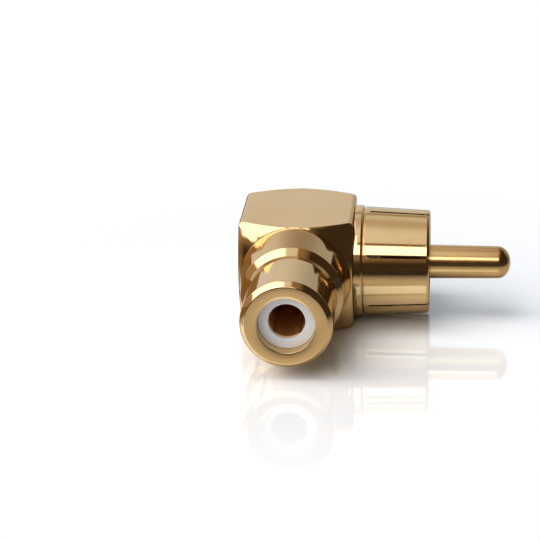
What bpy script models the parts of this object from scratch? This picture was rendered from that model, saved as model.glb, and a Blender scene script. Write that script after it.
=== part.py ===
"""Right-angle RCA adapter: a square brass body, a jack barrel on its front and a plug on its right.

Metres, +Z up. The origin is the centre of the body's bottom face, right under the point where the
jack's axis crosses the plug's axis. The plug points along +X and the jack along -Y.
"""

import math

import bmesh
import bpy
from mathutils import Matrix

# Body: square bar stock, its two ends turned down to a circle, with the jack barrel on the front end
BLOCK_SIDE = 0.0106
BLOCK_LENGTH = 0.0106
BLOCK_EDGE_RADIUS = 0.00045
END_FACE_RADIUS = 0.00525
END_CHAMFER_ANGLE = math.radians(35)
ROOT_BACK_RADIUS = 0.00505
ROOT_FRONT_RADIUS = 0.0047
ROOT_LENGTH = 0.0034
ROOT_TAPER = 0.0007
BARREL_RADIUS = 0.00415
BARREL_LENGTH = 0.0057
BARREL_CHAMFER = 0.00043

# Bores in the body, measured from the point where the two axes cross
JACK_BORE_RADIUS = 0.0026
JACK_BORE_MOUTH = 0.00012
JACK_BORE_FLOOR = 0.00115
CHAMBER_RADIUS = 0.0021
CHAMBER_DEPTH = 0.0023
TAIL_HOLE_RADIUS = 0.0014

# Clearance between two pieces that fit together, and the overlap that a cutter needs
FIT = 0.00005
OVERLAP = 0.001

# Plug shell: a turned piece, its stem pressed into the body's right face
STEM_RADIUS = 0.00335
STEM_LENGTH = 0.00205
COLLAR_RADIUS = 0.00526
COLLAR_LENGTH = 0.00085
COLLAR_EDGE = 0.0001
COLLAR_SHOULDER = 0.00026
GROOVE_RADIUS = 0.00495
GROOVE_WIDTH = 0.00012
SLEEVE_RADIUS = 0.00515
SLEEVE_LENGTH = 0.00603
RIM_RADIUS = 0.00485
RIM_ROUND = 0.00028
RIM_LEAD_IN = 0.00035
SLEEVE_BORE_RADIUS = 0.00418
SLEEVE_FLOOR = 0.0003
SLOT_COUNT = 6
SLOT_WIDTH = 0.00024
SLOT_LAND = 0.00045
SLOT_TURN = math.radians(4)

# Plug pin: a solid pin with a domed tip, and a thin tail that crosses the jack's contact
PIN_RADIUS = 0.0016
PIN_TIP_RADIUS = 0.00152
PIN_TIP_LENGTH = 0.0012
PIN_PROTRUSION = 0.00757
PIN_SEAT_DEPTH = 0.0009
TAIL_RADIUS = 0.0008
TAIL_END = 0.0013

# Plug insulator: a flanged bush in the shell's stem
PLUG_BUSH_RADIUS = 0.0022
PLUG_FLANGE_RADIUS = 0.0033
PLUG_FLANGE_LENGTH = 0.001

# Jack insulator: a sleeve in the jack bore, set back from the barrel's front
JACK_FACE_RECESS = 0.001
JACK_HOLE_RADIUS = 0.00165
JACK_HOLE_COUNTERSINK = 0.00012
JACK_LIP_LENGTH = 0.00035
JACK_WEB_LENGTH = 0.001

# Jack contact: a slotted spring socket with a solid tail
CONTACT_RADIUS = 0.00205
CONTACT_SOCKET_RADIUS = 0.00162
CONTACT_MOUTH = 0.00015
CONTACT_FLOOR_LENGTH = 0.0009
CONTACT_TAIL_RADIUS = 0.0014
CONTACT_TAIL_END = 0.0015
CONTACT_SLOT_WIDTH = 0.0003
CONTACT_SLOT_LENGTH = 0.007
CONTACT_SLOT_COUNT = 4

# Facets round a full turn, and along an arc of a turned outline
WIDE_FACETS = 64
NARROW_FACETS = 40
ARC_FACETS = 5
SHOULDER_FACETS = 3
TIP_FACETS = 8
BLOCK_EDGE_FACETS = 4

# Places along the two axes, from the point where they cross
AXIS_HEIGHT = BLOCK_SIDE / 2
BLOCK_FRONT = BLOCK_LENGTH / 2
ROOT_FRONT = BLOCK_FRONT + ROOT_LENGTH
BARREL_BACK = ROOT_FRONT + ROOT_TAPER
BARREL_EDGE = BARREL_BACK + BARREL_LENGTH
JACK_FRONT = BARREL_EDGE + BARREL_CHAMFER
SIDE_FACE = BLOCK_SIDE / 2
STEM_BACK = SIDE_FACE - STEM_LENGTH
COLLAR_BACK = SIDE_FACE + FIT
COLLAR_FRONT = COLLAR_BACK + COLLAR_LENGTH
SLEEVE_BACK = COLLAR_FRONT + GROOVE_WIDTH
CAVITY_FLOOR = SLEEVE_BACK + SLEEVE_FLOOR
SLOT_BACK = SLEEVE_BACK + SLOT_LAND
RIM = SLEEVE_BACK + SLEEVE_LENGTH
PIN_TIP = RIM + PIN_PROTRUSION
JACK_FACE = JACK_FRONT - JACK_FACE_RECESS
JACK_SLEEVE_BACK = JACK_BORE_FLOOR + FIT
JACK_WEB_FRONT = JACK_SLEEVE_BACK + JACK_WEB_LENGTH
CONTACT_BACK = JACK_WEB_FRONT + FIT
CONTACT_FRONT = JACK_FACE - JACK_LIP_LENGTH - FIT


def clear_scene():
    for thing in list(bpy.data.objects):
        bpy.data.objects.remove(thing)


def finish(name, colour, roughness, metallic):
    material = bpy.data.materials.new(name)
    material.use_nodes = True
    shader = material.node_tree.nodes["Principled BSDF"]
    shader.inputs["Base Color"].default_value = (*colour, 1.0)
    shader.inputs["Roughness"].default_value = roughness
    shader.inputs["Metallic"].default_value = metallic
    return material


def arc(centre, radius, start, end, facets):
    """Points of an arc in an outline, as (distance along the axis, radius); angles in degrees."""
    points = []
    for step in range(facets + 1):
        angle = math.radians(start + (end - start) * step / facets)
        points.append((centre[0] + radius * math.cos(angle), centre[1] + radius * math.sin(angle)))
    return points


def dome(back, length, radius, facets):
    """Points of a half-ellipse that ends an outline on its axis."""
    points = []
    for step in range(facets):
        angle = math.radians(90 - 90 * step / facets)
        points.append((back + length * math.cos(angle), radius * math.sin(angle)))
    return [*points, (back + length, 0.0)]


def link(name, mesh):
    piece = bpy.data.objects.new(name, mesh)
    bpy.context.collection.objects.link(piece)
    return piece


def turned(name, outline, facets):
    """A turned solid along its own +X, from an outline of (distance along the axis, radius)."""
    shape = bmesh.new()
    corners = [shape.verts.new((along, radius, 0.0)) for along, radius in outline]
    edges = [shape.edges.new(pair) for pair in zip(corners, corners[1:])]
    if outline[0][1] > 0 or outline[-1][1] > 0:
        edges.append(shape.edges.new((corners[-1], corners[0])))
    bmesh.ops.spin(
        shape,
        geom=corners + edges,
        cent=(0, 0, 0),
        axis=(1, 0, 0),
        angle=math.tau,
        steps=facets,
        use_merge=True,
    )
    bmesh.ops.remove_doubles(shape, verts=shape.verts, dist=1e-7)
    bmesh.ops.recalc_face_normals(shape, faces=shape.faces)
    mesh = bpy.data.meshes.new(name)
    shape.to_mesh(mesh)
    shape.free()
    mesh.shade_smooth()
    mesh.set_sharp_from_angle(angle=math.radians(30))
    return link(name, mesh)


def box(name, size):
    shape = bmesh.new()
    bmesh.ops.create_cube(shape, size=1.0, matrix=Matrix.Diagonal((*size, 1.0)))
    mesh = bpy.data.meshes.new(name)
    shape.to_mesh(mesh)
    shape.free()
    return link(name, mesh)


def put_on_plug_axis(piece):
    piece.location = (0, 0, AXIS_HEIGHT)


def put_on_jack_axis(piece):
    piece.location = (0, 0, AXIS_HEIGHT)
    piece.rotation_euler = (0, 0, -math.pi / 2)


def combine(piece, tool, operation):
    """A Boolean on the piece; the tool stays in the scene as a wire guide."""
    modifier = piece.modifiers.new(tool.name, "BOOLEAN")
    modifier.operation = operation
    modifier.solver = "EXACT"
    modifier.object = tool
    tool.hide_render = True
    tool.display_type = "WIRE"


def chamfered_bar():
    """The turned envelope that cuts both ends of the square bar down to a circle."""
    half = BLOCK_LENGTH / 2
    reach = BLOCK_SIDE
    drop = (reach - END_FACE_RADIUS) * math.tan(END_CHAMFER_ANGLE)
    outline = [
        (-half, 0.0),
        (-half, END_FACE_RADIUS),
        (-half + drop, reach),
        (half - drop, reach),
        (half, END_FACE_RADIUS),
        (half, 0.0),
    ]
    return turned("end_chamfers", outline, WIDE_FACETS)


def jack_barrel():
    outline = [
        (BLOCK_FRONT - OVERLAP, 0.0),
        (BLOCK_FRONT - OVERLAP, ROOT_BACK_RADIUS),
        (BLOCK_FRONT, ROOT_BACK_RADIUS),
        (ROOT_FRONT, ROOT_FRONT_RADIUS),
        (BARREL_BACK, BARREL_RADIUS),
        (BARREL_EDGE, BARREL_RADIUS),
        (JACK_FRONT, BARREL_RADIUS - BARREL_CHAMFER),
        (JACK_FRONT, 0.0),
    ]
    return turned("jack_barrel", outline, WIDE_FACETS)


def jack_bore():
    mouth = JACK_BORE_RADIUS + JACK_BORE_MOUTH
    outline = [
        (-CHAMBER_DEPTH, 0.0),
        (-CHAMBER_DEPTH, CHAMBER_RADIUS),
        (JACK_BORE_FLOOR, CHAMBER_RADIUS),
        (JACK_BORE_FLOOR, JACK_BORE_RADIUS),
        (JACK_FRONT - JACK_BORE_MOUTH, JACK_BORE_RADIUS),
        (JACK_FRONT, mouth),
        (JACK_FRONT + OVERLAP, mouth),
        (JACK_FRONT + OVERLAP, 0.0),
    ]
    return turned("jack_bore", outline, WIDE_FACETS)


def side_bore():
    outline = [
        (0.0, 0.0),
        (0.0, TAIL_HOLE_RADIUS),
        (STEM_BACK - FIT, TAIL_HOLE_RADIUS),
        (STEM_BACK - FIT, STEM_RADIUS + FIT),
        (SIDE_FACE + OVERLAP, STEM_RADIUS + FIT),
        (SIDE_FACE + OVERLAP, 0.0),
    ]
    return turned("side_bore", outline, WIDE_FACETS)


def make_body(brass):
    body = box("body", (BLOCK_SIDE, BLOCK_LENGTH, BLOCK_SIDE))
    body.location = (0, 0, AXIS_HEIGHT)
    for edge in body.data.edges:
        ends = [body.data.vertices[index].co for index in edge.vertices]
        if abs(ends[0].y - ends[1].y) > BLOCK_LENGTH / 2:
            weights = body.data.attributes.get("bevel_weight_edge")
            weights = weights or body.data.attributes.new("bevel_weight_edge", "FLOAT", "EDGE")
            weights.data[edge.index].value = 1.0
    rounding = body.modifiers.new("long_edges", "BEVEL")
    rounding.limit_method = "WEIGHT"
    rounding.width = BLOCK_EDGE_RADIUS
    rounding.segments = BLOCK_EDGE_FACETS
    for tool, operation in (
        (chamfered_bar(), "INTERSECT"),
        (jack_barrel(), "UNION"),
        (jack_bore(), "DIFFERENCE"),
    ):
        put_on_jack_axis(tool)
        combine(body, tool, operation)
    side = side_bore()
    put_on_plug_axis(side)
    combine(body, side, "DIFFERENCE")
    body.data.materials.append(brass)


def shell_outline():
    """Closed outline of the plug shell: outside from the stem to the rim, then back inside."""
    return [
        (STEM_BACK, PLUG_BUSH_RADIUS + FIT),
        (STEM_BACK, STEM_RADIUS),
        (COLLAR_BACK, STEM_RADIUS),
        (COLLAR_BACK, COLLAR_RADIUS - COLLAR_EDGE),
        (COLLAR_BACK + COLLAR_EDGE, COLLAR_RADIUS),
        *arc((COLLAR_FRONT - COLLAR_SHOULDER, COLLAR_RADIUS - COLLAR_SHOULDER),
             COLLAR_SHOULDER, 90, 0, SHOULDER_FACETS),
        (COLLAR_FRONT, GROOVE_RADIUS),
        (SLEEVE_BACK, GROOVE_RADIUS),
        (SLEEVE_BACK, SLEEVE_RADIUS - COLLAR_EDGE),
        (SLEEVE_BACK + COLLAR_EDGE, SLEEVE_RADIUS),
        *arc((RIM - RIM_ROUND, RIM_RADIUS - RIM_ROUND), RIM_ROUND, 90, 0, ARC_FACETS),
        (RIM, SLEEVE_BORE_RADIUS + RIM_LEAD_IN),
        (RIM - RIM_LEAD_IN, SLEEVE_BORE_RADIUS),
        (CAVITY_FLOOR, SLEEVE_BORE_RADIUS),
        (CAVITY_FLOOR, PLUG_BUSH_RADIUS + FIT),
    ]


def sleeve_slots():
    """One cutter with a blade for each slot, reaching from the sleeve's wall out past it."""
    inner = (SLEEVE_BORE_RADIUS + PLUG_FLANGE_RADIUS) / 2
    outer = COLLAR_RADIUS + OVERLAP
    length = RIM + OVERLAP - SLOT_BACK
    shape = bmesh.new()
    for number in range(SLOT_COUNT):
        turn = Matrix.Rotation(SLOT_TURN + math.tau * number / SLOT_COUNT, 4, "X")
        middle = Matrix.Translation((SLOT_BACK + length / 2, 0.0, (inner + outer) / 2))
        size = Matrix.Diagonal((length, SLOT_WIDTH, outer - inner, 1.0))
        bmesh.ops.create_cube(shape, size=1.0, matrix=turn @ middle @ size)
    mesh = bpy.data.meshes.new("sleeve_slots")
    shape.to_mesh(mesh)
    shape.free()
    return link("sleeve_slots", mesh)


def make_plug_shell(brass):
    shell = turned("plug_shell", shell_outline(), WIDE_FACETS)
    put_on_plug_axis(shell)
    slots = sleeve_slots()
    put_on_plug_axis(slots)
    combine(shell, slots, "DIFFERENCE")
    shell.data.materials.append(brass)


def make_plug_pin(brass):
    shoulder = STEM_BACK + PIN_SEAT_DEPTH + FIT
    outline = [
        (-TAIL_END, 0.0),
        (-TAIL_END, TAIL_RADIUS),
        (shoulder, TAIL_RADIUS),
        (shoulder, PIN_RADIUS),
        (RIM, PIN_RADIUS),
        *dome(PIN_TIP - PIN_TIP_LENGTH, PIN_TIP_LENGTH, PIN_TIP_RADIUS, TIP_FACETS),
    ]
    pin = turned("plug_pin", outline, NARROW_FACETS)
    put_on_plug_axis(pin)
    pin.data.materials.append(brass)


def make_plug_insulator(plastic):
    seat = STEM_BACK + PIN_SEAT_DEPTH
    flange_back = CAVITY_FLOOR + FIT
    flange_front = flange_back + PLUG_FLANGE_LENGTH
    outline = [
        (STEM_BACK, TAIL_RADIUS + FIT),
        (STEM_BACK, PLUG_BUSH_RADIUS),
        (flange_back, PLUG_BUSH_RADIUS),
        (flange_back, PLUG_FLANGE_RADIUS),
        (flange_front, PLUG_FLANGE_RADIUS),
        (flange_front, PIN_RADIUS + FIT),
        (seat, PIN_RADIUS + FIT),
        (seat, TAIL_RADIUS + FIT),
    ]
    insulator = turned("plug_insulator", outline, NARROW_FACETS)
    put_on_plug_axis(insulator)
    insulator.data.materials.append(plastic)


def make_jack_insulator(plastic):
    outer = JACK_BORE_RADIUS - FIT
    lip_back = JACK_FACE - JACK_LIP_LENGTH
    outline = [
        (JACK_SLEEVE_BACK, CONTACT_TAIL_RADIUS + FIT),
        (JACK_SLEEVE_BACK, outer),
        (JACK_FACE, outer),
        (JACK_FACE, JACK_HOLE_RADIUS + JACK_HOLE_COUNTERSINK),
        (JACK_FACE - JACK_HOLE_COUNTERSINK, JACK_HOLE_RADIUS),
        (lip_back, JACK_HOLE_RADIUS),
        (lip_back, CONTACT_RADIUS + FIT),
        (JACK_WEB_FRONT, CONTACT_RADIUS + FIT),
        (JACK_WEB_FRONT, CONTACT_TAIL_RADIUS + FIT),
    ]
    insulator = turned("jack_insulator", outline, NARROW_FACETS)
    put_on_jack_axis(insulator)
    insulator.data.materials.append(plastic)


def contact_slots():
    """Two crossed blades that part the socket's wall into its spring fingers."""
    start = CONTACT_FRONT - CONTACT_SLOT_LENGTH
    length = CONTACT_SLOT_LENGTH + OVERLAP
    reach = 2 * (CONTACT_RADIUS + OVERLAP)
    middle = Matrix.Translation((start + length / 2, 0.0, 0.0))
    size = Matrix.Diagonal((length, CONTACT_SLOT_WIDTH, reach, 1.0))
    tools = []
    for number in range(CONTACT_SLOT_COUNT // 2):
        shape = bmesh.new()
        turn = Matrix.Rotation(math.pi * (number + 0.5) / (CONTACT_SLOT_COUNT // 2), 4, "X")
        bmesh.ops.create_cube(shape, size=1.0, matrix=turn @ middle @ size)
        mesh = bpy.data.meshes.new(f"contact_slot_{number}")
        shape.to_mesh(mesh)
        shape.free()
        tools.append(link(f"contact_slot_{number}", mesh))
    return tools


def tail_cross_hole():
    """The hole through the contact's tail that takes the pin's tail."""
    radius = TAIL_RADIUS + FIT
    reach = CONTACT_TAIL_RADIUS + OVERLAP
    outline = [(-reach, 0.0), (-reach, radius), (reach, radius), (reach, 0.0)]
    return turned("tail_cross_hole", outline, NARROW_FACETS)


def make_jack_contact(brass):
    socket_floor = CONTACT_BACK + CONTACT_FLOOR_LENGTH
    outline = [
        (-CONTACT_TAIL_END, 0.0),
        (-CONTACT_TAIL_END, CONTACT_TAIL_RADIUS),
        (CONTACT_BACK, CONTACT_TAIL_RADIUS),
        (CONTACT_BACK, CONTACT_RADIUS),
        (CONTACT_FRONT, CONTACT_RADIUS),
        (CONTACT_FRONT, CONTACT_SOCKET_RADIUS + CONTACT_MOUTH),
        (CONTACT_FRONT - CONTACT_MOUTH, CONTACT_SOCKET_RADIUS),
        (socket_floor, CONTACT_SOCKET_RADIUS),
        (socket_floor, 0.0),
    ]
    contact = turned("jack_contact", outline, NARROW_FACETS)
    put_on_jack_axis(contact)
    for slot in contact_slots():
        put_on_jack_axis(slot)
        combine(contact, slot, "DIFFERENCE")
    hole = tail_cross_hole()
    put_on_plug_axis(hole)
    combine(contact, hole, "DIFFERENCE")
    contact.data.materials.append(brass)


clear_scene()
make_body(finish("body_gold_plate", (0.78, 0.57, 0.30), 0.16, 1.0))
make_plug_shell(finish("shell_gold_plate", (0.78, 0.57, 0.30), 0.18, 1.0))
make_plug_pin(finish("pin_gold_plate", (0.77, 0.55, 0.28), 0.15, 1.0))
make_plug_insulator(finish("plug_white_plastic", (0.80, 0.79, 0.77), 0.45, 0.0))
make_jack_insulator(finish("jack_white_plastic", (0.82, 0.81, 0.80), 0.4, 0.0))
make_jack_contact(finish("contact_gold_plate", (0.72, 0.46, 0.20), 0.22, 1.0))
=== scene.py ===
import math

import bmesh
import bpy
from mathutils import Matrix, Vector


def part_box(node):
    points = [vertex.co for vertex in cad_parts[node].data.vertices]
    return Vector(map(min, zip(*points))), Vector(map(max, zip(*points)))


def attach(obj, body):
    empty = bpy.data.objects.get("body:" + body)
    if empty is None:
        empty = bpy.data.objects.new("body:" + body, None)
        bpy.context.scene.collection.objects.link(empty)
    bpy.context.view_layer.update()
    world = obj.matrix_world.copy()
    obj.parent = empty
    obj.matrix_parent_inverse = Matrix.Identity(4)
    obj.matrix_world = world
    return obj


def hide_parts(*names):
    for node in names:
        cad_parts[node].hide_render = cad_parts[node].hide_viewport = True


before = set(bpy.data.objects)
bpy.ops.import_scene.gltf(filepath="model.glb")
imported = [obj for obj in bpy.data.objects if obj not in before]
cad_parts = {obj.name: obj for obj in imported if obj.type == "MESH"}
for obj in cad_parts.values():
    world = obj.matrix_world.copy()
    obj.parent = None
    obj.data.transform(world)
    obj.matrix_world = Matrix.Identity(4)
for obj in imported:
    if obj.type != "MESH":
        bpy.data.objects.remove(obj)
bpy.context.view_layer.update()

# Body. One piece of free-cutting brass, gold plated: a square bar, its two ends turned down to a
# circle, with the stepped jack barrel turned on its front end. The jack's bore runs in from the
# front, and the plug's stem is pressed into the round hole in the right face.
body_low, body_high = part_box("body")
block_side = body_high.z - body_low.z
crossing = Vector((0, 0, body_low.z + block_side / 2))
plug_axis, jack_axis = Vector((1, 0, 0)), Vector((0, -1, 0))
block_front = body_high.y
long_edge_radius = 0.00045
end_circle_radius = 0.00525
end_chamfer_slope = math.tan(math.radians(35))
root_back_radius, root_front_radius, root_front = 0.0052, 0.0047, block_front + 0.0034
barrel_radius, barrel_back = 0.00415, root_front + 0.0007
jack_front = -body_low.y
barrel_chamfer = 0.00043
jack_bore_radius, jack_bore_floor = 0.0026, 0.00115
chamber_radius, chamber_end = 0.0021, -0.0023
stem_hole_radius, stem_hole_floor, tail_hole_radius = 0.0034, 0.0032, 0.0014
machined_edge = 0.00006
smooth_below = math.radians(40)


def on_lathe(name, outline, axis, facets=192):
    """A solid turned round one of the two axes, from an outline of (distance along it, radius)."""
    points = [crossing + axis * along + Vector((0, 0, radius)) for along, radius in outline]
    bpy.ops.object.select_all(action="DESELECT")
    bpy.ops.mesh.primitive_plane_add(size=block_side, location=points[0])
    piece = bpy.context.object
    piece.name = piece.data.name = name
    bpy.ops.object.mode_set(mode="EDIT")
    bpy.ops.mesh.select_mode(type="VERT")
    bpy.ops.mesh.select_all(action="SELECT")
    bpy.ops.mesh.merge(type="CENTER")
    for start, end in zip(points, points[1:]):
        bpy.ops.mesh.extrude_region_move(TRANSFORM_OT_translate={"value": end - start})
    bpy.ops.mesh.select_all(action="SELECT")
    bpy.ops.mesh.spin(steps=facets, angle=math.tau, center=crossing, axis=axis)
    bpy.ops.mesh.select_all(action="SELECT")
    bpy.ops.mesh.remove_doubles(threshold=1e-6)
    bpy.ops.mesh.normals_make_consistent(inside=False)
    bpy.ops.object.mode_set(mode="OBJECT")
    bpy.ops.object.transform_apply(location=True, rotation=True, scale=True)
    return piece


def take(piece):
    """Makes the piece the only one selected, for the next operator."""
    bpy.ops.object.select_all(action="DESELECT")
    piece.select_set(True)
    bpy.context.view_layer.objects.active = piece


def round_rings(piece, axis, rings, width, steps=4):
    """Rounds turned corners, each named by its (distance along the axis, radius)."""
    take(piece)
    bpy.ops.object.mode_set(mode="EDIT")
    bpy.ops.mesh.select_mode(type="EDGE")
    bpy.ops.mesh.select_all(action="DESELECT")
    shape = bmesh.from_edit_mesh(piece.data)

    def lies_on(corner, along, radius):
        arm = corner.co - crossing
        reach = arm.dot(axis)
        return abs(reach - along) < 2e-6 and abs((arm - axis * reach).length - radius) < 2e-6

    for edge in shape.edges:
        if any(all(lies_on(corner, *ring) for corner in edge.verts) for ring in rings):
            edge.select_set(True)
    bmesh.update_edit_mesh(piece.data)
    bpy.ops.mesh.bevel(offset=width, segments=steps, affect="EDGES")
    bpy.ops.object.mode_set(mode="OBJECT")


def machine(piece, tool, operation):
    """Cuts the piece with a tool, or joins the tool to it, and takes the tool away."""
    take(piece)
    bpy.ops.object.modifier_add(type="BOOLEAN")
    step = piece.modifiers[-1]
    step.operation, step.solver, step.object = operation, "EXACT", tool
    bpy.ops.object.modifier_apply(modifier=step.name)
    bpy.data.objects.remove(tool)


def break_edges(piece, width, angle):
    """Takes the sharpness off a machined piece's edges, and shades its flats flat."""
    take(piece)
    bpy.ops.object.mode_set(mode="EDIT")
    bpy.ops.mesh.select_mode(type="VERT")
    bpy.ops.mesh.select_all(action="SELECT")
    bpy.ops.mesh.remove_doubles(threshold=4e-6)
    bpy.ops.mesh.dissolve_degenerate(threshold=4e-6)
    bpy.ops.object.mode_set(mode="OBJECT")
    bpy.ops.object.modifier_add(type="BEVEL")
    step = piece.modifiers[-1]
    step.width, step.segments, step.limit_method, step.angle_limit = width, 3, "ANGLE", angle
    step.miter_outer, step.use_clamp_overlap = "MITER_ARC", False
    bpy.ops.object.modifier_apply(modifier=step.name)
    bpy.ops.object.shade_smooth_by_angle(angle=smooth_below)
    bpy.ops.object.modifier_add(type="WEIGHTED_NORMAL")
    step = piece.modifiers[-1]
    step.keep_sharp = True
    bpy.ops.object.modifier_apply(modifier=step.name)


bpy.ops.object.select_all(action="DESELECT")
bpy.ops.mesh.primitive_cube_add(size=block_side, location=crossing)
body = bpy.context.object
body.name = body.data.name = "adapter_body"
bpy.ops.object.transform_apply(location=True, rotation=True, scale=True)
bpy.ops.object.mode_set(mode="EDIT")
bpy.ops.mesh.select_mode(type="EDGE")
bpy.ops.mesh.select_all(action="DESELECT")
shape = bmesh.from_edit_mesh(body.data)
for edge in shape.edges:
    edge.select_set(abs((edge.verts[0].co - edge.verts[1].co).y) > block_side / 2)
bmesh.update_edit_mesh(body.data)
bpy.ops.mesh.bevel(offset=long_edge_radius, segments=10, affect="EDGES")
bpy.ops.object.mode_set(mode="OBJECT")

end_drop = (block_side - end_circle_radius) * end_chamfer_slope
machine(body, on_lathe("end_chamfers", [
    (-block_front, 0), (-block_front, end_circle_radius), (end_drop - block_front, block_side),
    (block_front - end_drop, block_side), (block_front, end_circle_radius), (block_front, 0),
], jack_axis), "INTERSECT")
machine(body, on_lathe("jack_barrel", [
    (block_front / 2, 0), (block_front / 2, root_back_radius), (block_front, root_back_radius),
    (root_front, root_front_radius), (barrel_back, barrel_radius),
    (jack_front - barrel_chamfer, barrel_radius), (jack_front, barrel_radius - barrel_chamfer),
    (jack_front, 0),
], jack_axis), "UNION")
machine(body, on_lathe("jack_bore", [
    (chamber_end, 0), (chamber_end, chamber_radius), (jack_bore_floor, chamber_radius),
    (jack_bore_floor, jack_bore_radius), (jack_front + machined_edge, jack_bore_radius),
    (jack_front + machined_edge, 0),
], jack_axis), "DIFFERENCE")
machine(body, on_lathe("stem_hole", [
    (0, 0), (0, tail_hole_radius), (stem_hole_floor, tail_hole_radius),
    (stem_hole_floor, stem_hole_radius), (block_side, stem_hole_radius), (block_side, 0),
], plug_axis), "DIFFERENCE")
break_edges(body, machined_edge, math.radians(18))


class Reading:
    """A socket of a finish's nodes: sums on it add Math nodes, and node() adds any other node."""

    def __init__(self, tree, socket=None):
        self.tree, self.socket = tree, socket

    def node(self, kind, settings, sockets, output=0):
        """A node: first its settings, then the values or links of its sockets."""
        made = self.tree.nodes.new("ShaderNode" + kind)
        for name, value in settings.items():
            if name == "stops":
                ramp = made.color_ramp
                while len(ramp.elements) < len(value):
                    ramp.elements.new(0.5)
                for stop, (place, colour) in zip(ramp.elements, value):
                    stop.position, stop.color = place, (*colour, 1)
            else:
                setattr(made, name, value)
        for name, value in sockets.items():
            if isinstance(value, Reading):
                self.tree.links.new(value.socket, made.inputs[name])
            else:
                made.inputs[name].default_value = value
        return Reading(self.tree, made.outputs[output])

    def maths(self, operation, *values, clamp=False):
        settings = {"operation": operation, "use_clamp": clamp}
        return self.node("Math", settings, dict(enumerate(values)))

    def __add__(self, other):
        return self.maths("ADD", self, other)

    def __sub__(self, other):
        return self.maths("SUBTRACT", self, other)

    def __rsub__(self, other):
        return self.maths("SUBTRACT", other, self)

    def __mul__(self, other):
        return self.maths("MULTIPLY", self, other)

    __radd__, __rmul__ = __add__, __mul__

    def between(self, low, high):
        """0 up to low, 1 from high, and smooth between them."""
        return self.node("MapRange", {"interpolation_type": "SMOOTHSTEP"},
                         {"Value": self, "From Min": low, "From Max": high})


def finish_on(piece, name):
    """A new finish on the piece: its shader, and a Reading of the place on the piece."""
    material = bpy.data.materials.new(name)
    material.use_nodes = True
    piece.data.materials.clear()
    piece.data.materials.append(material)
    tree = material.node_tree
    return tree.nodes["Principled BSDF"], Reading(tree).node("TexCoord", {}, {}, output=3)


def gold_plate(piece, name, gold, deep_gold, roughness, ring_axis=None):
    """Polished gold plate: faint tone drift, soft handling marks, and rings left by the lathe."""
    shader, place = finish_on(piece, name)
    drift = place.node("TexNoise", {}, {
        "Vector": place, "Scale": 190, "Detail": 3, "Roughness": 0.5})
    tone = place.node("ValToRGB", {"stops": [(0.35, gold), (0.7, deep_gold)]}, {"Fac": drift})
    marks = place.node("TexNoise", {}, {
        "Vector": place, "Scale": 900, "Detail": 5, "Roughness": 0.65})
    haze = marks.between(0.5, 0.75)
    grain = place.node("TexNoise", {}, {"Vector": place, "Scale": 5200, "Detail": 2})
    ripple = place.node("TexNoise", {}, {"Vector": place, "Scale": 260, "Detail": 1})
    height = grain * 0.05 + ripple
    if ring_axis:
        rings = place.node("TexWave", {"wave_type": "BANDS", "bands_direction": ring_axis},
                           {"Vector": place, "Scale": 2600, "Distortion": 0.6, "Detail": 2})
        height = height + rings * 0.008
    bump = place.node("Bump", {}, {"Height": height, "Strength": 1.0, "Distance": 0.000012})
    place.tree.links.new(tone.socket, shader.inputs["Base Color"])
    place.tree.links.new((roughness + haze * 0.08).socket, shader.inputs["Roughness"])
    place.tree.links.new(bump.socket, shader.inputs["Normal"])
    shader.inputs["Metallic"].default_value = 1.0


gold_plate(body, "body_gold", (0.80, 0.575, 0.30), (0.76, 0.53, 0.26), 0.07)
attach(body, "root")
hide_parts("body")

# Jack insulator. A white plastic sleeve turned from rod and pressed into the jack's bore, set back
# a little from its mouth. It holds the contact and keeps it off the body.
jack_face = -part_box("jack_insulator")[0].y
jack_sleeve_back = -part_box("jack_insulator")[1].y
jack_sleeve_radius = jack_bore_radius - 0.00001
jack_hole_radius, jack_lip_back = 0.00165, jack_face - 0.00035
contact_room, contact_tail_room = 0.0021, 0.00145
jack_web_front = jack_sleeve_back + 0.001
hole_round, turned_edge = 0.00012, 0.00003
jack_insulator = on_lathe("adapter_jack_insulator", [
    (jack_sleeve_back, contact_tail_room), (jack_sleeve_back, jack_sleeve_radius),
    (jack_face, jack_sleeve_radius), (jack_face, jack_hole_radius),
    (jack_lip_back, jack_hole_radius), (jack_lip_back, contact_room),
    (jack_web_front, contact_room), (jack_web_front, contact_tail_room),
    (jack_sleeve_back, contact_tail_room),
], jack_axis, 128)
round_rings(jack_insulator, jack_axis, [(jack_face, jack_hole_radius)], hole_round)
round_rings(jack_insulator, jack_axis, [(jack_face, jack_sleeve_radius)], turned_edge)
take(jack_insulator)
bpy.ops.object.shade_smooth_by_angle(angle=smooth_below)


def white_plastic(piece, name, white, grey):
    """Turned white plastic: slightly cloudy, with a soft sheen."""
    shader, place = finish_on(piece, name)
    cloud = place.node("TexNoise", {}, {"Vector": place, "Scale": 420, "Detail": 4})
    tone = place.node("ValToRGB", {"stops": [(0.35, white), (0.72, grey)]}, {"Fac": cloud})
    grain = place.node("TexNoise", {}, {"Vector": place, "Scale": 3800, "Detail": 3})
    bump = place.node("Bump", {}, {"Height": grain, "Strength": 1.0, "Distance": 0.000004})
    place.tree.links.new(tone.socket, shader.inputs["Base Color"])
    place.tree.links.new((0.34 + grain * 0.12).socket, shader.inputs["Roughness"])
    place.tree.links.new(bump.socket, shader.inputs["Normal"])


white_plastic(jack_insulator, "jack_white", (0.83, 0.815, 0.81), (0.79, 0.77, 0.77))
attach(jack_insulator, "root")
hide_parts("jack_insulator")

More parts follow.
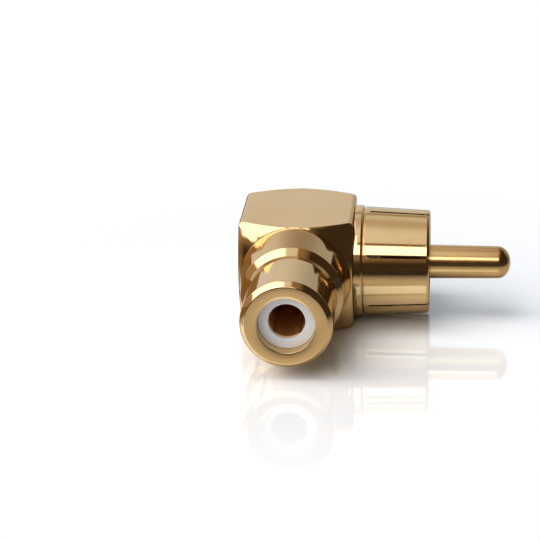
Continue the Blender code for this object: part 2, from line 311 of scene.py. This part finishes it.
# Jack contact. A socket of spring brass with a thin gold flash, its wall sawn into four fingers
# that grip a plug's pin. Its solid tail takes the tail of this adapter's own pin, soldered in a
# cross hole.
contact_front, contact_end = -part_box("jack_contact")[0].y, -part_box("jack_contact")[1].y
contact_radius, socket_radius, contact_tail_radius = 0.00205, 0.00162, 0.0014
fit_gap, socket_lead_in = 0.00005, 0.00015
contact_back = jack_web_front + fit_gap
socket_floor = contact_back + 0.0009
finger_slot_width, finger_slot_length = 0.0003, 0.007
pin_tail_radius = 0.0008
tail_fit_radius, tail_hole_half = pin_tail_radius + fit_gap, 0.002
jack_contact = on_lathe("adapter_jack_contact", [
    (contact_end, 0), (contact_end, contact_tail_radius), (contact_back, contact_tail_radius),
    (contact_back, contact_radius), (contact_front, contact_radius),
    (contact_front, socket_radius + socket_lead_in),
    (contact_front - socket_lead_in, socket_radius),
    (socket_floor, socket_radius), (socket_floor, 0),
], jack_axis, 128)
for turn in (45, 135):
    bpy.ops.object.select_all(action="DESELECT")
    bpy.ops.mesh.primitive_cube_add(size=1, location=crossing + jack_axis * contact_front)
    blade = bpy.context.object
    blade.scale = (finger_slot_width, 2 * finger_slot_length, 4 * contact_radius)
    blade.rotation_euler.y = math.radians(turn)
    bpy.ops.object.transform_apply(location=True, rotation=True, scale=True)
    machine(jack_contact, blade, "DIFFERENCE")
machine(jack_contact, on_lathe("tail_hole", [
    (-tail_hole_half, 0), (-tail_hole_half, tail_fit_radius),
    (tail_hole_half, tail_fit_radius), (tail_hole_half, 0),
], plug_axis, 64), "DIFFERENCE")
break_edges(jack_contact, turned_edge, math.radians(30))
gold_plate(jack_contact, "contact_gold", (0.86, 0.50, 0.18), (0.78, 0.42, 0.14), 0.58)
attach(jack_contact, "root")
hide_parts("jack_contact")

# Plug shell. Turned brass, gold plated: a collar that stops against the body, a narrow groove, and
# the slightly tapered sleeve that grips a jack, sawn into six fingers. Its stem is pressed into
# the body's right face.
stem_back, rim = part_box("plug_shell")[0].x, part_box("plug_shell")[1].x
bush_room, stem_radius = 0.00225, 0.00335
collar_back, collar_front, collar_radius = 0.00535, 0.0062, 0.00526
collar_shoulder, smooth_steps = 0.00025, 6
groove_radius, sleeve_back, sleeve_radius = 0.00495, 0.00632, 0.00515
rim_radius, rim_round, rim_lead_in, sleeve_bore_radius = 0.00485, 0.00028, 0.00035, 0.00418
cavity_floor, slot_back = sleeve_back + 0.0003, sleeve_back + 0.00045
slot_width, slot_turn, slot_count = 0.00024, math.radians(4), 6
blade_depth, blade_past_rim = 0.002, 0.002
plug_shell = on_lathe("adapter_plug_shell", [
    (stem_back, bush_room), (stem_back, stem_radius), (collar_back, stem_radius),
    (collar_back, collar_radius), (collar_front, collar_radius), (collar_front, groove_radius),
    (sleeve_back, groove_radius), (sleeve_back, sleeve_radius), (rim, rim_radius),
    (rim, sleeve_bore_radius + rim_lead_in), (rim - rim_lead_in, sleeve_bore_radius),
    (cavity_floor, sleeve_bore_radius), (cavity_floor, bush_room), (stem_back, bush_room),
], plug_axis)
round_rings(plug_shell, plug_axis, [(sleeve_back, sleeve_radius)], turned_edge)
round_rings(plug_shell, plug_axis, [(collar_front, collar_radius)], collar_shoulder, smooth_steps)
round_rings(plug_shell, plug_axis, [(rim, rim_radius)], rim_round, smooth_steps)
blades = []
for number in range(slot_count):
    bpy.ops.object.select_all(action="DESELECT")
    bpy.ops.mesh.primitive_cube_add(size=1)
    blade = bpy.context.object
    turn = slot_turn + math.tau * number / slot_count
    reach = (sleeve_bore_radius + collar_radius) / 2
    outward = Vector((0, -math.sin(turn), math.cos(turn)))
    blade.location = (crossing + plug_axis * (slot_back + rim) / 2
                      + plug_axis * (blade_past_rim / 2) + reach * outward)
    blade.scale = (rim - slot_back + blade_past_rim, slot_width, blade_depth)
    blade.rotation_euler.x = turn
    bpy.ops.object.transform_apply(location=True, rotation=True, scale=True)
    blades.append(blade)
take(blades[0])
for blade in blades:
    blade.select_set(True)
bpy.ops.object.join()
machine(plug_shell, blades[0], "DIFFERENCE")
break_edges(plug_shell, turned_edge, smooth_below)
gold_plate(plug_shell, "shell_gold", (0.80, 0.575, 0.30), (0.76, 0.53, 0.26), 0.07,
           ring_axis="X")
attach(plug_shell, "root")
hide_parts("plug_shell")

# Plug insulator. A flanged bush of white plastic, turned from rod and pressed into the shell's
# stem. Its flange lies on the floor of the sleeve and carries the pin.
bush_low, bush_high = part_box("plug_insulator")
bush_back, flange_front = bush_low.x, bush_high.x
bush_radius, flange_radius = bush_room - fit_gap, (bush_high - bush_low).z / 2
flange_back = cavity_floor + fit_gap
pin_radius, pin_seat = 0.0016, bush_back + 0.0009
pin_fit_radius = pin_radius + fit_gap
flange_round, pin_hole_round = 0.0001, 0.00006
plug_insulator = on_lathe("adapter_plug_insulator", [
    (bush_back, tail_fit_radius), (bush_back, bush_radius), (flange_back, bush_radius),
    (flange_back, flange_radius), (flange_front, flange_radius), (flange_front, pin_fit_radius),
    (pin_seat, pin_fit_radius), (pin_seat, tail_fit_radius), (bush_back, tail_fit_radius),
], plug_axis, 128)
round_rings(plug_insulator, plug_axis, [(flange_front, flange_radius)], flange_round)
round_rings(plug_insulator, plug_axis, [(flange_front, pin_fit_radius)], pin_hole_round)
take(plug_insulator)
bpy.ops.object.shade_smooth_by_angle(angle=smooth_below)
white_plastic(plug_insulator, "plug_white", (0.81, 0.80, 0.78), (0.77, 0.76, 0.74))
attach(plug_insulator, "root")
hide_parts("plug_insulator")

# Pin. Turned brass, gold plated, with a domed tip, pushed into the insulator up to its shoulder.
# Its thin tail runs on through the body and is soldered in the jack contact's cross hole.
pin_low, pin_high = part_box("plug_pin")
tip_radius, tip_length = 0.00152, 0.0012
tail_end, pin_tip = pin_low.x, pin_high.x
pin_shoulder, dome_facets = pin_seat + fit_gap, 16
dome = [math.radians(90 - 90 * step / dome_facets) for step in range(dome_facets)]
plug_pin = on_lathe("adapter_pin", [
    (tail_end, 0), (tail_end, pin_tail_radius), (pin_shoulder, pin_tail_radius),
    (pin_shoulder, pin_radius), (rim, pin_radius),
    *[(pin_tip - tip_length * (1 - math.cos(a)), tip_radius * math.sin(a)) for a in dome],
    (pin_tip, 0),
], plug_axis, 128)
take(plug_pin)
bpy.ops.object.shade_smooth_by_angle(angle=smooth_below)
gold_plate(plug_pin, "pin_gold", (0.70, 0.46, 0.21), (0.63, 0.40, 0.17), 0.16,
           ring_axis="X")
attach(plug_pin, "root")
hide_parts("plug_pin")

# Floor. A sheet of white acrylic with a polished face, which mirrors the adapter faintly. For the
# camera it fades into the white of the background away from the adapter. In the gold's reflections
# the floor carries painted light: a warm tint that stands in for light bounced off the gold, and a
# painted amber reflection on the left, beside and behind the adapter.
sheet_radius, sheet_ior, mirror_share = 0.9, 1.9, 2.1
white_on_camera, white_in_light = (1.27, 1.245, 1.24, 1), (0.78, 0.78, 0.78, 1)
# Seen only in the gold: painted warm bounce light on the floor, and a painted amber reflection.
painted_warm_bounce, painted_amber_reflection = (0.80, 0.735, 0.64, 1), (0.26, 0.14, 0.045, 1)
mirror_tint, mirror_roughness = (0.7, 0.84, 0.96, 1), 0.03
fade_centre, fade_stretch = (-0.002, 0.0, 0.0), (0.75, 1.0, 1.0)
fade_start, fade_end = 0.013, 0.04
bpy.ops.object.select_all(action="DESELECT")
bpy.ops.mesh.primitive_circle_add(vertices=96, radius=sheet_radius, fill_type="NGON")
floor = bpy.context.object
floor.name = floor.data.name = "floor"
shader, place = finish_on(floor, "white_acrylic")
tree = place.tree
tree.nodes.remove(shader)
on_camera = place.node("LightPath", {}, {}, output=0)
on_gloss = place.node("LightPath", {}, {}, output=3)
along, deep = (place.node("SeparateXYZ", {}, {0: place}, output=k) for k in range(2))
# Painted amber reflection, seen only in the gold, on the floor left of and behind the adapter.
painted_amber_reflection_zone = along.between(-0.006, -0.012) * (deep - along * 0.5).between(-0.008, 0.002)
# The gold sees the floor in these painted colours; other light rays see it plain grey, and the
# camera sees it white.
paint = place.node("MixRGB", {}, {
    "Fac": painted_amber_reflection_zone, "Color1": painted_warm_bounce, "Color2": painted_amber_reflection})
paint = place.node("MixRGB", {}, {"Fac": on_gloss, "Color1": white_in_light, "Color2": paint})
paint = place.node("MixRGB", {}, {"Fac": on_camera, "Color1": paint, "Color2": white_on_camera})
matt = place.node("BsdfDiffuse", {}, {"Color": paint})
polish = place.node("BsdfGlossy", {}, {"Color": mirror_tint, "Roughness": mirror_roughness})
fresnel = place.node("Fresnel", {}, {"IOR": sheet_ior})
share = fresnel.maths("MULTIPLY", fresnel, mirror_share, clamp=True)
# Where the painted amber reflection lies, the gold sees no mirror in the floor.
acrylic = place.node("MixShader", {}, {
    0: share * (1 - on_gloss * painted_amber_reflection_zone), 1: matt, 2: polish})
nearby = place.node("Mapping", {"vector_type": "POINT"}, {
    "Vector": place, "Location": fade_centre, "Scale": fade_stretch})
distance = place.node("VectorMath", {"operation": "LENGTH"}, {0: nearby}, output=1)
away = distance.between(fade_start, fade_end)
white = place.node("Emission", {}, {"Color": (1, 1, 1, 1), "Strength": 1.0})
faded = place.node("MixShader", {}, {0: on_camera * away, 1: acrylic, 2: white})
tree.links.new(faded.socket, tree.nodes["Material Output"].inputs["Surface"])

# Studio, as the gold mirrors it. A large soft box hangs over the left front, a paler ceiling runs
# from it to the back wall, and the room is dark and warm on the right and at the front. A broad
# white lamp in the soft box's place lights all the rest, and the camera sees plain white behind.
world = bpy.data.worlds.new("studio")
bpy.context.scene.world = world
world.use_nodes = True
tree = world.node_tree
background = tree.nodes["Background"]
toward = Reading(tree).node("TexCoord", {}, {}, output=0)
across, ahead, upward = (toward.node("SeparateXYZ", {}, {0: toward}, output=k) for k in range(3))
aside = across.maths("ARCSINE", across) * math.degrees(1)
over = across.maths("ARCTAN2", upward, 0 - ahead) * math.degrees(1)
over = over + over.between(-100, -100.1) * 360


def panel(start, end, left, right):
    """1 inside a panel, 0 outside. Each of its edges is the pair of angles, in degrees, between
    which it fades: the first two over the top from the front, the others from left to right."""
    return over.between(*start) * over.between(*end) * aside.between(*left) * aside.between(*right)


def brightest(*levels):
    """The highest of the levels in each direction."""
    result = levels[0]
    for level in levels[1:]:
        result = result.maths("MAXIMUM", result, level)
    return result


soft_box = brightest(
    panel((32, 36), (54.5, 53), (-69, -62), (13, 8)) * 2.5,
    panel((26, 29), (40, 34), (-69, -62), (-43, -47)) * 2.5,
    panel((50, 54), (80, 72), (-69, -62), (-2, -10)) * 2.6,
    panel((70, 78), (118, 110), (-69, -62), (-6, -20)) * 2.6,
)
ceiling_level = 0.88 - over.between(80, 108) * 0.27 + over.between(112, 130) * 0.12
back_wall_level = 0.76 - aside.between(-10, 24) * 0.32
ceiling = brightest(
    panel((57, 61), (150, 130), (-69, -62), (11, 4)) * ceiling_level,
    panel((130, 150), (181, 180), (-69, -62), (70, 40)) * back_wall_level,
    panel((40, 62), (150, 120), (-10, 0), (34, 14)) * 0.3,
)
walls = 0.05 + aside.between(-62, -70) * 0.16 + over.between(14, 27) * aside.between(24, 0) * 0.22
level = brightest(soft_box, ceiling, walls)
paleness = brightest(level.between(0.4, 0.75), over.between(130, 150) * aside.between(-70, -62))
plain_white, warm_dark = (1, 1, 1, 1), (1, 0.66, 0.38, 1)
warmth = toward.node("MixRGB", {}, {
    "Fac": paleness, "Color1": warm_dark, "Color2": plain_white})
tree.links.new(warmth.socket, background.inputs["Color"])
tree.links.new(level.socket, background.inputs["Strength"])
lamp_light = (panel((22, 34), (106, 98), (-69, -62), (8, -6)) * 2.4
              + panel((72, 78), (106, 98), (-69, -62), (8, -6)) * 2.5 + 0.11)
lamps = toward.node("Background", {}, {"Color": plain_white, "Strength": lamp_light})
behind = toward.node("Background", {}, {"Color": plain_white, "Strength": 1.0})
camera_ray = toward.node("LightPath", {}, {}, output=0)
glossy_ray = toward.node("LightPath", {}, {}, output=3)
mirrored = Reading(tree, background.outputs[0])
sky = toward.node("MixShader", {}, {0: glossy_ray, 1: lamps, 2: mirrored})
sky = toward.node("MixShader", {}, {0: camera_ray, 1: sky, 2: behind})
tree.links.new(sky.socket, tree.nodes["World Output"].inputs["Surface"])

# Camera, from above the front and a little to the right, 18 cm from the adapter, as fitted to the
# reference photo.
camera_elevation, camera_azimuth, camera_roll = (
    math.radians(angle) for angle in (22.431, 5.985, -1.496))
camera_target = crossing + Vector((-0.002804, -0.000645, -0.000845))
camera_distance, camera_lens, camera_sensor = 0.17831, 124.82, 36
back = Vector((math.sin(camera_azimuth) * math.cos(camera_elevation),
               -math.cos(camera_azimuth) * math.cos(camera_elevation),
               math.sin(camera_elevation)))
level_side = Vector((math.cos(camera_azimuth), math.sin(camera_azimuth), 0))
level_up = back.cross(level_side)
side = level_side * math.cos(camera_roll) + level_up * math.sin(camera_roll)
up = level_up * math.cos(camera_roll) - level_side * math.sin(camera_roll)
camera = bpy.data.objects.new("camera", bpy.data.cameras.new("camera"))
bpy.context.scene.collection.objects.link(camera)
camera.matrix_world = Matrix.LocRotScale(
    camera_target + back * camera_distance,
    Matrix((side, up, back)).transposed().to_quaternion(), None)
camera.data.sensor_width, camera.data.lens = camera_sensor, camera_lens
camera.data.clip_start, camera.data.clip_end = 0.005, 5
bpy.context.scene.camera = camera
bpy.context.scene.view_settings.view_transform = "Standard"
